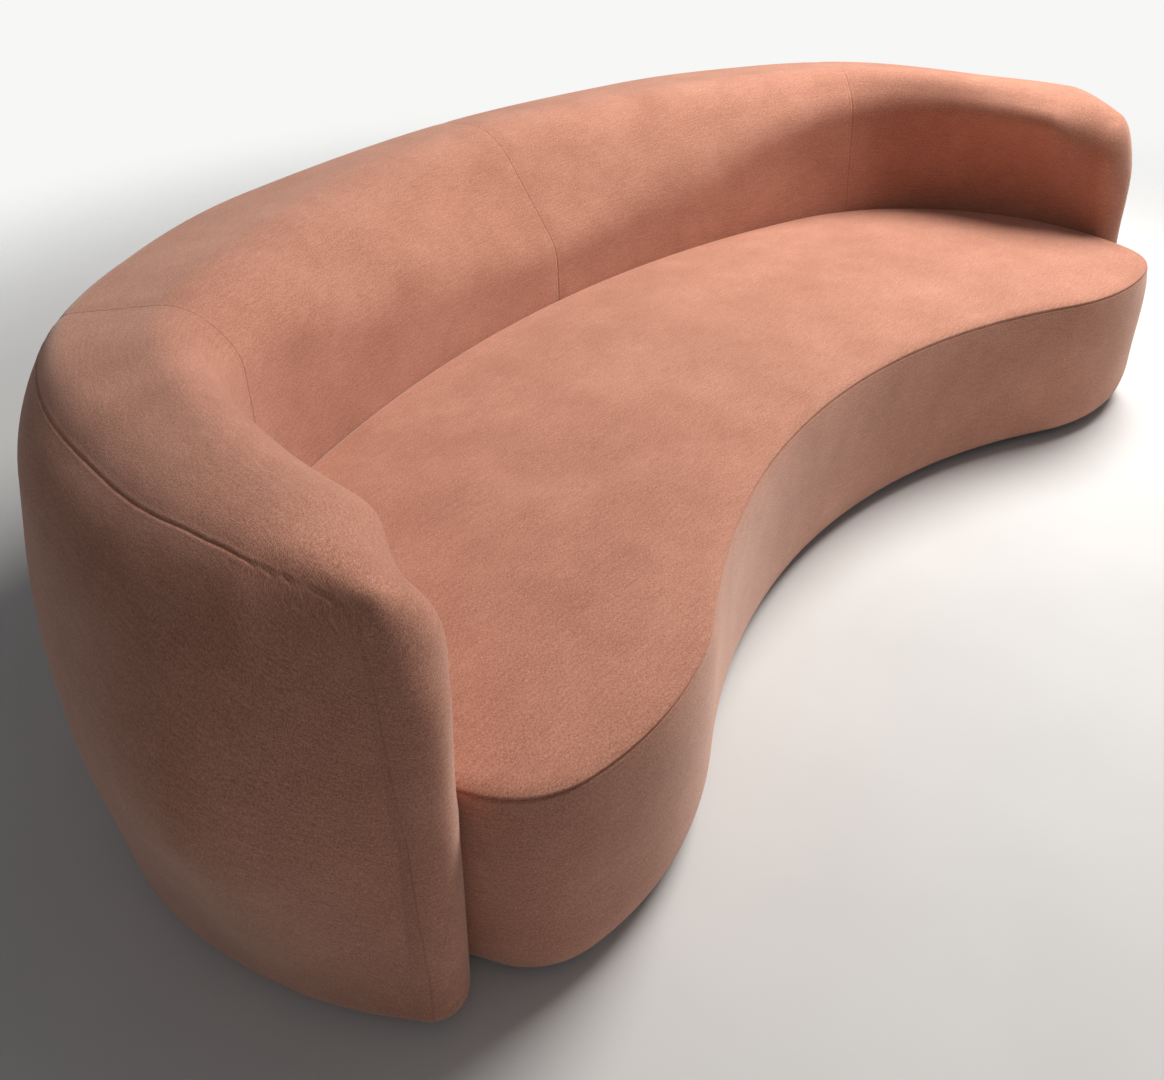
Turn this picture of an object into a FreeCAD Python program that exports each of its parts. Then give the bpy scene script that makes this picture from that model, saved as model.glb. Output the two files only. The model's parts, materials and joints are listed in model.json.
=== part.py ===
import FreeCAD, Part
import math
import os

# Curved sofa in two upholstered units: a kidney-shaped seat and a thick wrap-round back.
# Millimetres. +X along the length, the front faces -Y, +Z up, the floor is z = 0.

# Seat plan: tangent arcs from the middle of the front edge round to the middle of the rear edge.
FRONT_RADIUS = 1277.0
FRONT_SWEEP = 31.3
SWEEP_RADIUS = 471.0
SWEEP_HEADING = 10.6
LOBE_RADIUS = 144.0
LOBE_HEADING = 65.7
END_RADIUS = 557.0
END_HEADING = 159.5
ARM_END_HEADING = 67.7

# Heights.
FOOT_HEIGHT = 20.0
SEAT_SEAM_HEIGHT = 350.0
SEAT_CROWN = 32.0
SEAT_FRAME_HEIGHT = 270.0
BACK_HEIGHT = 736.0
SIDE_TOP_DROP = 6.0
ARM_TOP_DROP = 46.0

# How thick the back is, from its inner face to its widest point outside.
CENTRE_DEPTH = 445.0
QUARTER_DEPTH = 405.0
SIDE_DEPTH = 347.0
ELBOW_DEPTH = 256.0
ARM_DEPTH = 245.0
ARM_END_THICKNESS = 92.0

# Where those depths are met, as distances round the inner face from the arm end.
ARM_PLACE = 200.0
ELBOW_PLACE = 380.0
SIDE_SEAM_PLACE = 740.0
QUARTER_PLACE = 1200.0

# Materials and clearances.
FABRIC = 2.0
LINING = 1.0
PLY = 18.0
BENDY_PLY = 5.0
SEAT_FOAM = 60.0
BORDER_FOAM = 30.0
BACK_FOAM = 30.0
FIT = 0.4
UNIT_GAP = 0.4
RING_WIDTH = 65.0
WEB_WIDTH = 70.0
WEB_THICKNESS = 1.5
HESSIAN = 1.0
FOOT_DIAMETER = 50.0
SCREW_DIAMETER = 5.0
SCREW_HEAD = 10.0
SCREW_LENGTH = 30.0
STRAP_THICKNESS = 3.0
STRAP_WIDTH = 40.0
STRAP_LENGTH = 150.0


# Plan arcs of the seat edge on the right half: centre x, centre y, radius, first and last heading.
def plan_arcs():
    x, y, heading = 0.0, 0.0, 0.0
    arcs = []
    steps = ((-FRONT_SWEEP, -FRONT_RADIUS), (SWEEP_HEADING, SWEEP_RADIUS),
             (LOBE_HEADING, LOBE_RADIUS), (END_HEADING, END_RADIUS))
    for last, radius in steps:
        cx = x - radius * math.sin(math.radians(heading))
        cy = y + radius * math.cos(math.radians(heading))
        arcs.append((cx, cy, radius, heading, last))
        x = cx + radius * math.sin(math.radians(last))
        y = cy - radius * math.cos(math.radians(last))
        heading = last
    radius = x / math.sin(math.radians(heading))
    cy = y + radius * math.cos(math.radians(heading))
    arcs.append((0.0, cy, radius, heading, 180.0))
    return arcs


RAW_ARCS = plan_arcs()
FRONT_TIP = RAW_ARCS[1][1] - SWEEP_RADIUS
REAR_EDGE = RAW_ARCS[4][1] + RAW_ARCS[4][2]
SHIFT_Y = -(FRONT_TIP + REAR_EDGE + UNIT_GAP + CENTRE_DEPTH) / 2.0
ARCS = [(cx, cy + SHIFT_Y, r, a, b) for cx, cy, r, a, b in RAW_ARCS]
FRONT_ARCS = ARCS[:3] + [ARCS[3][:4] + (ARM_END_HEADING + 1.0,)]
REAR_ARCS = [ARCS[3][:3] + (ARM_END_HEADING + 1.0, END_HEADING), ARCS[4]]


def plan_point(arc, heading, inset, z, side=1):
    cx, cy, radius = arc[:3]
    r = radius - inset
    a = math.radians(heading)
    return FreeCAD.Vector(side * (cx + r * math.sin(a)), cy - r * math.cos(a), z)


# Points of each arc along one half of the seat plan, as (start, middle, end).
def half_points(arcs, inset, z, side, scale=1.0, middle=0.0):
    found = []
    for arc in arcs:
        first, last = arc[3], arc[4]
        points = [plan_point(arc, h, inset, z, side) for h in (first, (first + last) / 2, last)]
        found.append([FreeCAD.Vector(p.x * scale, middle + (p.y - middle) * scale, z)
                      for p in points])
    return found


def turned(triples):
    return [[c, b, a] for a, b, c in reversed(triples)]


def arc_edges(triples):
    return [Part.Arc(a, b, c).toShape() for a, b, c in triples]


# Closed outline of the seat, inset from its seam line.
def seat_wire(inset, z, scale=1.0):
    middle = (ARCS[0][1] + FRONT_RADIUS + ARCS[4][1] + ARCS[4][2]) / 2.0
    right = half_points(ARCS, inset, z, 1, scale, middle)
    left = half_points(ARCS, inset, z, -1, scale, middle)
    return Part.Wire(arc_edges(right + turned(left)))


def seat_prism(inset, z0, z1):
    return Part.Face(seat_wire(inset, z0)).extrude(FreeCAD.Vector(0, 0, z1 - z0))


# A closed band between two insets, round the front or round the rear of the seat.
def band_wire(arcs, outer, inner, z, front):
    runs = []
    for inset in (outer, inner):
        right = half_points(arcs, inset, z, 1)
        left = half_points(arcs, inset, z, -1)
        runs.append(turned(left) + right if front else right + turned(left))
    out, back = runs[0], turned(runs[1])
    edges = arc_edges(out)
    edges.append(Part.makeLine(out[-1][2], back[0][0]))
    edges += arc_edges(back)
    edges.append(Part.makeLine(back[-1][2], out[0][0]))
    return Part.Wire(edges)


def band_solid(arcs, outer, inner, z0, z1, front):
    wire = band_wire(arcs, outer, inner, z0, front)
    return Part.Face(wire).extrude(FreeCAD.Vector(0, 0, z1 - z0))


def ply_box(x0, x1, y0, y1, z0, z1):
    return Part.makeBox(x1 - x0, y1 - y0, z1 - z0, FreeCAD.Vector(x0, y0, z0))


def rod(x, y, z0, z1, diameter):
    return Part.makeCylinder(diameter / 2.0, z1 - z0, FreeCAD.Vector(x, y, z0))


def export(shape, name):
    shape.exportStep("parts/" + name + ".step")
    print(name, "solids", len(shape.Solids), "valid", shape.isValid(),
          "litres", round(shape.Volume / 1e6, 3))


# Path of the back round the seat, measured from the arm end to the middle.
PATH_ARCS = [ARCS[3][:3] + (ARM_END_HEADING, END_HEADING), ARCS[4]]
FIRST_LENGTH = math.radians(END_HEADING - ARM_END_HEADING) * END_RADIUS
HALF_LENGTH = FIRST_LENGTH + math.radians(180.0 - END_HEADING) * ARCS[4][2]
END_PLACE = ARM_END_THICKNESS / 2.0 + 10.0


def place_on_path(place, side):
    if place <= FIRST_LENGTH:
        arc = PATH_ARCS[0]
        heading = ARM_END_HEADING + math.degrees(place / END_RADIUS)
    else:
        arc = PATH_ARCS[1]
        heading = END_HEADING + math.degrees((place - FIRST_LENGTH) / arc[2])
    a = math.radians(heading)
    return plan_point(arc, heading, -UNIT_GAP, 0.0, side), \
        FreeCAD.Vector(side * math.sin(a), -math.cos(a), 0.0)


# Corners of the back section before rounding, as (distance out, height), at one named place.
def corner_row(top, depth, lean, inner, outer, outer_drop, seam, seam_drop, wide, foot):
    return [0.0, top - lean, depth * inner, top, depth * outer, top - outer_drop,
            depth * seam, top - seam_drop, depth, top * wide, depth * foot, FOOT_HEIGHT]


ROW_PLACES = [END_PLACE, ARM_PLACE, ELBOW_PLACE, SIDE_SEAM_PLACE, QUARTER_PLACE, HALF_LENGTH]
ROWS = [
    corner_row(BACK_HEIGHT - ARM_TOP_DROP, ARM_END_THICKNESS, 55, .35, .65, 0, 1, 55, .5, 1),
    corner_row(BACK_HEIGHT - .65 * ARM_TOP_DROP, ARM_DEPTH, 58, .17, .32, 5, .68, 78, .61, .59),
    corner_row(BACK_HEIGHT - .35 * ARM_TOP_DROP, ELBOW_DEPTH, 70, .12, .4, 20, .785, 84, .53, .83),
    corner_row(BACK_HEIGHT - SIDE_TOP_DROP, SIDE_DEPTH, 80, .207, .82, 23, .9, 85, .55, .785),
    corner_row(BACK_HEIGHT - SIDE_TOP_DROP, QUARTER_DEPTH, 165, .32, .93, 24, .985, 58, .575, .81),
    corner_row(BACK_HEIGHT, CENTRE_DEPTH, 255, .43, .835, 21, .953, 80, .585, .81)]
ROW_PLACES.append(2 * HALF_LENGTH - QUARTER_PLACE)
ROWS.append(ROWS[4])


# Smooth blend between the rows that never overshoots them.
def blended(values, place):
    xs = ROW_PLACES
    steps = [xs[i + 1] - xs[i] for i in range(len(xs) - 1)]
    rises = [(values[i + 1] - values[i]) / steps[i] for i in range(len(steps))]
    slopes = [rises[0]]
    for i in range(1, len(steps)):
        a, b = rises[i - 1], rises[i]
        slopes.append(2 * a * b / (a + b) if a * b > 0 else 0.0)
    slopes.append(0.0)
    i = 0
    while i < len(steps) - 1 and place > xs[i + 1]:
        i += 1
    h = steps[i]
    t = (place - xs[i]) / h
    return ((2 * t**3 - 3 * t**2 + 1) * values[i] + (t**3 - 2 * t**2 + t) * h * slopes[i]
            + (3 * t**2 - 2 * t**3) * values[i + 1] + (t**3 - t**2) * h * slopes[i + 1])


def corners_at(place):
    flat = [blended([row[k] for row in ROWS], place) for k in range(12)]
    return [(0.0, FOOT_HEIGHT)] + [(flat[2 * k], flat[2 * k + 1]) for k in range(6)]


# How far each rounding reaches along the shorter of its two sides.
REACH = [.47, .47, .45, .45, .45, .25]


# Rounded section of the back, inset by one skin: a list of runs, each a line or an arc.
def rounded(place, inset, bottom=FOOT_HEIGHT):
    corners = corners_at(place) + [(0.0, FOOT_HEIGHT)]
    runs = []
    last = (inset, bottom)
    for i in range(1, 7):
        (ax, az), (bx, bz), (cx, cz) = corners[i - 1], corners[i], corners[i + 1]
        la, lc = math.hypot(ax - bx, az - bz), math.hypot(cx - bx, cz - bz)
        reach = REACH[i - 1] * min(la, lc)
        if i == 1:
            reach = min(reach, .35 * lc)
        ua, uc = ((ax - bx) / la, (az - bz) / la), ((cx - bx) / lc, (cz - bz) / lc)
        p = (bx + ua[0] * reach, bz + ua[1] * reach)
        q = (bx + uc[0] * reach, bz + uc[1] * reach)
        turn = math.pi - math.acos(max(-1.0, min(1.0, ua[0] * uc[0] + ua[1] * uc[1])))
        if turn < .02:
            n = (-ua[1], ua[0])
            n = n if n[0] < 0 else (-n[0], -n[1])
            p, q = [(v[0] + n[0] * inset, v[1] + n[1] * inset) for v in (p, q)]
            runs += [(last, p), (p, q)]
        else:
            radius = reach / math.tan(turn / 2.0)
            mx, mz = ua[0] + uc[0], ua[1] + uc[1]
            length = math.hypot(mx, mz)
            centre = (bx + mx / length * radius / math.cos(turn / 2.0),
                      bz + mz / length * radius / math.cos(turn / 2.0))
            small = max(radius - inset, .3)
            def drawn(v, centre=centre, small=small):
                d = math.hypot(v[0] - centre[0], v[1] - centre[1])
                return (centre[0] + (v[0] - centre[0]) * small / d,
                        centre[1] + (v[1] - centre[1]) * small / d)
            mid = (centre[0] - mx, centre[1] - mz)
            p, mid, q = drawn(p), drawn(mid), drawn(q)
            runs += [(last, p), (p, mid, q)]
        last = q
    return runs


# Corners of the wooden frame's envelope inside the foam, from the outer foot round to the inner.
def frame_corners(place):
    c = corners_at(place)
    depth = c[5][0]
    squeeze = (depth - 2.0 * BACK_FOAM - 2.0) / depth
    tuck = REACH[5] * min(math.hypot(c[5][0] - c[6][0], c[5][1] - c[6][1]), c[6][0])
    drops = {1: 12.0, 2: BACK_FOAM + 5.0, 3: BACK_FOAM + 5.0, 4: 20.0, 5: 0.0}
    inner = {k: (BACK_FOAM + c[k][0] * squeeze, c[k][1] - drops[k]) for k in drops}
    floor_n = c[6][0] - tuck - 4.4
    knee = (BACK_FOAM + c[6][0] * squeeze, FOOT_HEIGHT + 55.0)
    return floor_n, knee, inner


def outer_frame(place, z):
    _, knee, inner = frame_corners(place)
    low, high = (knee, inner[5]) if z < inner[5][1] else (inner[5], inner[4])
    return low[0] + (high[0] - low[0]) * (z - low[1]) / (high[1] - low[1])


# Section runs carried to their place round the seat.
def carried(runs, place, side):
    origin, out = place_on_path(place, side)
    edges = []
    for run in runs:
        points = [FreeCAD.Vector(origin.x + out.x * n, origin.y + out.y * n, z) for n, z in run]
        if len(points) == 2:
            edges.append(Part.makeLine(*points))
        else:
            edges.append(Part.Arc(*points).toShape())
    return Part.Wire(edges)


def closed(points):
    return [(points[i], points[(i + 1) % len(points)]) for i in range(len(points))]


def back_runs(runs):
    return [tuple(reversed(run)) for run in reversed(runs)]


# A strip between two insets of the section, from one run to another.
def strip(place, outer, inner, first, last):
    a = rounded(place, outer)[first:last]
    b = back_runs(rounded(place, inner)[first:last])
    return a + [(a[-1][-1], b[0][0])] + b + [(b[-1][-1], a[0][0])]


def stations(start, end):
    rights = [END_PLACE, 120.0, 200.0, 290.0, 380.0, 500.0, 620.0, 740.0, 860.0, 1000.0, 1200.0,
              1450.0, HALF_LENGTH]
    scale = SIDE_SEAM_PLACE / 740.0
    rights = [END_PLACE] + [p * scale for p in rights[1:-1]] + [HALF_LENGTH]
    found = [(p, 1) for p in rights] + [(p, -1) for p in reversed(rights[:-1])]
    whole = [(p if side > 0 else 2 * HALF_LENGTH - p, p, side) for p, side in found]
    return [(p, side) for along, p, side in whole if start - .01 <= along <= end + .01]


def loft_round(section, start, end):
    wires = [carried(section(p), p, side) for p, side in stations(start, end)]
    return Part.makeLoft(wires, True, False)


# Everything on the arm's side of the side seam, and everything right or left of the middle.
def arm_side(side):
    origin, out = place_on_path(SIDE_SEAM_PLACE, side)
    along = FreeCAD.Vector(-out.y, out.x, 0) * side
    corners = [origin + out * n + along * a for n, a in ((-400, 0), (900, 0), (900, -1600), (-400, -1600))]
    corners = [FreeCAD.Vector(c.x, c.y, -100.0) for c in corners]
    return Part.Face(Part.makePolygon(corners + corners[:1])).extrude(FreeCAD.Vector(0, 0, 1100))


def half_side(side):
    x0, x1 = (0, 3000) if side > 0 else (-3000, 0)
    return ply_box(x0, x1, -3000, 3000, -100, 1000)


# The rounded arm end: half of the end section turned about an upright axis.
def arm_cap(runs, side, start_angle, angle):
    origin, out = place_on_path(END_PLACE, side)
    axis = origin + out * (ARM_END_THICKNESS / 2.0)
    face = Part.Face(carried(runs, END_PLACE, side))
    face.rotate(axis, FreeCAD.Vector(0, 0, 1), side * start_angle)
    return face.revolve(axis, FreeCAD.Vector(0, 0, 1), side * angle)


def half_strip(outer, inner):
    middle = ARM_END_THICKNESS / 2.0
    a = rounded(END_PLACE, outer)[:5]
    b = rounded(END_PLACE, inner)[:5]
    a[4] = (a[4][0], (middle, a[4][0][1]))
    b[4] = (b[4][0], (middle, b[4][0][1]))
    b = back_runs(b)
    return a + [(a[-1][-1], b[0][0])] + b + [(b[-1][-1], a[0][0])]


def half_block(outer, bottom):
    middle = ARM_END_THICKNESS / 2.0
    a = rounded(END_PLACE, outer, bottom)[:5]
    a[4] = (a[4][0], (middle, a[4][0][1]))
    return a + [(a[-1][-1], (middle, bottom)), ((middle, bottom), a[0][0])]


# Seat unit, from the floor up.
UNDER = FOOT_HEIGHT + LINING
DECK = UNDER + PLY
SKIN_INSET = FABRIC + FIT + BORDER_FOAM
BOARD_INSET = SKIN_INSET + BENDY_PLY + FIT
RING_TOP = SEAT_FRAME_HEIGHT
RING_UNDER = RING_TOP - PLY
WEB_TOP = RING_TOP + WEB_THICKNESS
HESSIAN_UNDER = WEB_TOP + WEB_THICKNESS
CORE_UNDER = HESSIAN_UNDER + HESSIAN
CORE_TOP = CORE_UNDER + SEAT_FOAM
FRONT_Y = ARCS[0][1] + FRONT_RADIUS
REAR_Y = ARCS[4][1] + ARCS[4][2]


# Places of the seat's six glides and of the back's seven.
def seat_foot_points():
    points = []
    for side in (1, -1):
        points.append(plan_point(ARCS[2], (SWEEP_HEADING + LOBE_HEADING) / 2, 110.0, 0, side))
        points.append(plan_point(ARCS[3], 112.0, 120.0, 0, side))
    points.append(plan_point(ARCS[0], 0.0, 120.0, 0))
    points.append(plan_point(ARCS[4], 180.0, 120.0, 0))
    return points


def back_foot_points():
    points = []
    for place in (170.0, 620.0, 1150.0, HALF_LENGTH):
        for side in ((1, -1) if place < HALF_LENGTH else (1,)):
            floor_n = frame_corners(place)[0]
            origin, out = place_on_path(place, side)
            points.append(origin + out * ((BACK_FOAM + floor_n) / 2.0))
    return points


# Steel straps that tie the two units together underneath.
def strap_places():
    return [(320.0, 1), (900.0, 1), (HALF_LENGTH, 1), (900.0, -1), (320.0, -1)]


SEAT_FEET = seat_foot_points()
BACK_FEET = back_foot_points()
STRAP_REACH = STRAP_LENGTH / 2.0 - 12.0
STRAP_HOLES = []
for strap_place, strap_side in strap_places():
    strap_origin, strap_out = place_on_path(strap_place, strap_side)
    STRAP_HOLES += [strap_origin + strap_out * STRAP_REACH, strap_origin - strap_out * STRAP_REACH]


def screw_holes(z0, z1, points):
    return [rod(p.x, p.y, z0, z1, SCREW_DIAMETER + FIT) for p in points]


def cut_all(shape, tools):
    return shape.cut(Part.makeCompound(tools))


# Glides with a sunk screw, one node for each unit.
def glides(points):
    made = []
    for p in points:
        foot = rod(p.x, p.y, 0, FOOT_HEIGHT, FOOT_DIAMETER)
        foot = foot.makeChamfer(2.0, [foot.Edges[2]])
        foot = foot.cut(rod(p.x, p.y, 0, 7.0, SCREW_HEAD + 2 * FIT))
        made.append(foot.cut(rod(p.x, p.y, 0, FOOT_HEIGHT, SCREW_DIAMETER + FIT)))
    return Part.makeCompound(made)


def screws(points, under_head, length):
    made = []
    for p in points:
        head = rod(p.x, p.y, under_head - 3.0, under_head, SCREW_HEAD)
        made.append(head.fuse(rod(p.x, p.y, under_head, under_head + length, SCREW_DIAMETER)))
    return Part.makeCompound(made)


def seat_unit():
    holes = SEAT_FEET + STRAP_HOLES[1::2]
    lining = seat_prism(BOARD_INSET - 8.0, FOOT_HEIGHT, UNDER)
    export(cut_all(lining, screw_holes(0, DECK, holes)), "seat_dust_cover")
    board = seat_prism(BOARD_INSET, UNDER, DECK)
    export(cut_all(board, screw_holes(0, DECK - 2.0, holes)), "seat_base_board")
    export(glides(SEAT_FEET), "seat_glides")
    export(screws(SEAT_FEET, 7.0, SCREW_LENGTH - 3.0), "seat_glide_screws")
    inside = seat_prism(BOARD_INSET, DECK, RING_UNDER)
    clear = seat_prism(BOARD_INSET + 70.0, DECK + 45.0, RING_UNDER - 45.0)
    for number, x in enumerate((-840.0, -420.0, 0.0, 420.0, 840.0), 1):
        rib = ply_box(x - PLY / 2, x + PLY / 2, FRONT_Y - 400, REAR_Y, DECK, RING_UNDER)
        export(rib.common(inside).cut(clear), "seat_rib_%d" % number)
    ring = seat_prism(BOARD_INSET, RING_UNDER, RING_TOP)
    export(ring.cut(seat_prism(BOARD_INSET + RING_WIDTH, RING_UNDER, RING_TOP)), "seat_top_ring")
    export(band_solid(FRONT_ARCS, SKIN_INSET, SKIN_INSET + BENDY_PLY, UNDER, RING_TOP, True),
           "seat_front_skin")
    export(band_solid(REAR_ARCS, SKIN_INSET, SKIN_INSET + BENDY_PLY, UNDER, RING_TOP, False),
           "seat_rear_skin")
    webs = []
    web_zone = seat_prism(BOARD_INSET + 8.0, RING_TOP, WEB_TOP)
    for k in range(-8, 9):
        x = k * 120.0
        webs.append(ply_box(x - WEB_WIDTH / 2, x + WEB_WIDTH / 2, FRONT_Y - 400, REAR_Y,
                            RING_TOP, WEB_TOP).common(web_zone))
    export(Part.makeCompound([s for w in webs for s in w.Solids]), "seat_webs_across")
    webs = []
    web_zone = seat_prism(BOARD_INSET + 8.0, WEB_TOP, HESSIAN_UNDER)
    for share in (.3, .55, .8):
        y = FRONT_Y + share * (REAR_Y - FRONT_Y)
        webs.append(ply_box(-1300, 1300, y - WEB_WIDTH / 2, y + WEB_WIDTH / 2,
                            WEB_TOP, HESSIAN_UNDER).common(web_zone))
    export(Part.makeCompound([s for w in webs for s in w.Solids]), "seat_webs_along")
    export(seat_prism(BOARD_INSET + 4.0, HESSIAN_UNDER, CORE_UNDER), "seat_hessian")
    export(seat_prism(SKIN_INSET, CORE_UNDER, CORE_TOP), "seat_foam_core")


# Height of the crowned seat above its seam, by distance in from the edge, then by scale.
CROWN_STEPS = ((0.0, 0.0), (12.0, .14), (40.0, .34), (80.0, .53), (120.0, .67))
CROWN_SCALES = ((.72, .88), (.4, 1.0))


# The crown as a solid, drawn in and lowered by the same shift.
def crown(shift):
    wires = []
    for inset, share in CROWN_STEPS:
        wires.append(seat_wire(inset + shift, SEAT_SEAM_HEIGHT + share * SEAT_CROWN - shift))
    for scale, share in CROWN_SCALES:
        z = SEAT_SEAM_HEIGHT + share * SEAT_CROWN - shift
        wires.append(seat_wire(CROWN_STEPS[-1][0] + shift, z, scale))
    return Part.makeLoft(wires, True, False)


# The border's upright side turns in under the seat: inset of the fabric at each height.
TUCK = ((0.0, 26.0), (12.0, 14.0), (35.0, 5.0), (75.0, 0.0))


def seat_soft():
    gap = FABRIC + FIT
    topper_under = CORE_TOP + FIT
    rim = SEAT_SEAM_HEIGHT - FABRIC
    outer = seat_prism(0.0, rim, SEAT_SEAM_HEIGHT).fuse(crown(0.0)).removeSplitter()
    export(outer.cut(crown(FABRIC)), "seat_top_cover")
    low = seat_prism(gap, topper_under, SEAT_SEAM_HEIGHT - gap)
    export(low.fuse(crown(gap)).removeSplitter(), "seat_foam_topper")
    levels = [(FOOT_HEIGHT + z, inset) for z, inset in TUCK]
    levels += [((rim + levels[-1][0]) / 2.0, 0.0), (rim, 0.0)]
    wires = [band_wire(FRONT_ARCS, inset, inset + FABRIC, z, True) for z, inset in levels]
    export(Part.makeLoft(wires, True, False), "seat_border_front")
    export(band_solid(REAR_ARCS, 0.0, FABRIC, FOOT_HEIGHT, rim, False),
           "seat_border_rear")
    top = CORE_TOP
    levels = [(UNDER, TUCK[0][1] - 1.0)] + levels[1:4] + [(levels[4][0], 0.0), (top, 0.0)]
    wires = [band_wire(FRONT_ARCS, inset + gap, SKIN_INSET - FIT, z, True) for z, inset in levels]
    export(Part.makeLoft(wires, True, False), "seat_border_foam_front")
    export(band_solid(REAR_ARCS, gap, SKIN_INSET - FIT, UNDER, top, False),
           "seat_border_foam_rear")


# Back unit.
RAIL_TOP = 600.0
RAIL_UNDER = RAIL_TOP - PLY
BACK_IN = BACK_FOAM + FIT


def level_plate(z0, z1, outer):
    def section(place):
        n = outer(place)
        return closed([(BACK_IN, z0), (n, z0), (n, z1), (BACK_IN, z1)])
    return loft_round(section, 0, 2 * HALF_LENGTH)


def back_frame():
    holes = BACK_FEET + STRAP_HOLES[0::2]

    def lining(place):
        n = frame_corners(place)[0] + 4.0
        inner = FABRIC + FIT
        return closed([(inner, FOOT_HEIGHT), (n, FOOT_HEIGHT), (n, UNDER), (inner, UNDER)])
    sheet = loft_round(lining, 0, 2 * HALF_LENGTH)
    export(cut_all(sheet, screw_holes(0, DECK, holes)), "back_dust_cover")
    plate = level_plate(UNDER, DECK, lambda place: frame_corners(place)[0] - FIT)
    export(cut_all(plate, screw_holes(0, DECK - 2.0, holes)), "back_base_plate")
    export(glides(BACK_FEET), "back_glides")
    export(screws(BACK_FEET, 7.0, SCREW_LENGTH - 3.0), "back_glide_screws")
    export(level_plate(RAIL_UNDER, RAIL_TOP, lambda place: outer_frame(place, RAIL_TOP) - FIT),
           "back_top_rail")

    def inner_board(place):
        return closed([(BACK_IN, DECK), (BACK_IN + BENDY_PLY, DECK),
                       (BACK_IN + BENDY_PLY, 440.0), (BACK_IN, 440.0)])
    export(loft_round(inner_board, 0, 2 * HALF_LENGTH), "back_inner_board")

    def outer_board(place):
        _, knee, inner = frame_corners(place)
        wide = inner[5]
        low, high = knee[1] + FIT, RAIL_UNDER
        outside = [(knee[0] - FIT, low), (wide[0] - FIT, wide[1]),
                   (outer_frame(place, high) - FIT, high)]
        inside = [(n - BENDY_PLY, z) for n, z in reversed(outside)]
        return closed(outside + inside)
    export(loft_round(outer_board, 0, 2 * HALF_LENGTH), "back_outer_board")
    rib_number = 0
    for place, side in rib_places():
        rib_number += 1
        export(rib(place, side), "back_rib_%d" % rib_number)
        export(former(place, side), "back_former_%d" % rib_number)


def rib_places():
    rights = [130.0, ELBOW_PLACE, SIDE_SEAM_PLACE, QUARTER_PLACE]
    return [(p, 1) for p in rights] + [(HALF_LENGTH, 1)] + [(p, -1) for p in reversed(rights)]


# Least of a limit over the thickness of a plate that stands across the path.
def least(limit, place):
    return min(limit(place - PLY), limit(place), limit(min(place + PLY, HALF_LENGTH)))


def plate_across(points, place, side):
    origin, out = place_on_path(place, side)
    along = FreeCAD.Vector(-out.y, out.x, 0)
    corners = [FreeCAD.Vector(origin.x + out.x * n, origin.y + out.y * n, z) - along * (PLY / 2)
               for n, z in points]
    return Part.Face(Part.makePolygon(corners + corners[:1])).extrude(along * PLY)


def rib(place, side):
    spare = BENDY_PLY + 2 * FIT
    inner = BACK_IN + spare
    floor_n = least(lambda p: frame_corners(p)[0] - 1.0, place)
    knee = least(lambda p: frame_corners(p)[1][0] - spare - 1.0, place)
    wide = least(lambda p: frame_corners(p)[2][5][0] - spare - 1.0, place)
    head = least(lambda p: outer_frame(p, RAIL_UNDER) - spare - 1.0, place)
    knee_z = frame_corners(place)[1][1]
    wide_z = frame_corners(place)[2][5][1]
    foot = min(floor_n, knee)
    points = [(inner, DECK), (foot, DECK), (knee, knee_z + 8.0), (wide, wide_z),
              (head, RAIL_UNDER), (inner, RAIL_UNDER)]
    plate = plate_across(points, place, side)
    if wide - inner < 120.0:
        return plate
    middle = (inner + min(foot, head)) / 2.0
    half = (min(foot, head) - inner) / 2.0 - 35.0
    window = [(middle - half, DECK + 90), (middle + half, DECK + 90),
              (middle + half, RAIL_UNDER - 90), (middle - half, RAIL_UNDER - 90)]
    return plate.cut(plate_across(window, place, side)) if half > 15 else plate


def former(place, side):
    def corner(k, p):
        return frame_corners(p)[2][k]
    spare = 3.0
    head = least(lambda p: outer_frame(p, RAIL_TOP) - spare, place)
    heights = [least(lambda p, k=k: corner(k, p)[1] - spare, place) for k in (1, 2, 3, 4)]
    low = max(heights[0], RAIL_TOP + 6.0)
    inner = BACK_IN + spare
    lean_n = corner(2, place)[0] + spare
    if corner(1, place)[1] < RAIL_TOP:
        a, b = corner(1, place), corner(2, place)
        inner = a[0] + (b[0] - a[0]) * (RAIL_TOP - a[1]) / (b[1] - a[1]) + 2 * spare
    points = [(inner, RAIL_TOP), (head, RAIL_TOP)]
    points.append((least(lambda p: corner(4, p)[0] - spare, place), max(heights[3], RAIL_TOP + 2)))
    points.append((least(lambda p: corner(3, p)[0] - spare, place), heights[2] - spare))
    points.append((lean_n, heights[1]))
    if corner(1, place)[1] >= RAIL_TOP:
        points.append((inner, low))
    return plate_across(points, place, side)


def back_foam():
    gap = FABRIC + FIT

    def section(place):
        floor_n, knee, inner = frame_corners(place)
        runs = rounded(place, gap, UNDER)
        end = runs[-1][-1]
        way = [end, (floor_n, end[1]), (floor_n, knee[1]), knee, inner[5], inner[4], inner[3],
               inner[2], inner[1], (BACK_FOAM, UNDER), runs[0][0]]
        return runs + [(way[i], way[i + 1]) for i in range(len(way) - 1)]
    foam = loft_round(section, 0, 2 * HALF_LENGTH)
    export(foam.common(half_side(1)), "back_foam_right")
    export(foam.common(half_side(-1)), "back_foam_left")
    for side, name in ((1, "arm_end_foam_right"), (-1, "arm_end_foam_left")):
        export(arm_cap(half_block(gap, UNDER), side, 0.0, 180.0), name)


CORNER_ANGLE = 150.0
SEAM_RUN = 6


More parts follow.
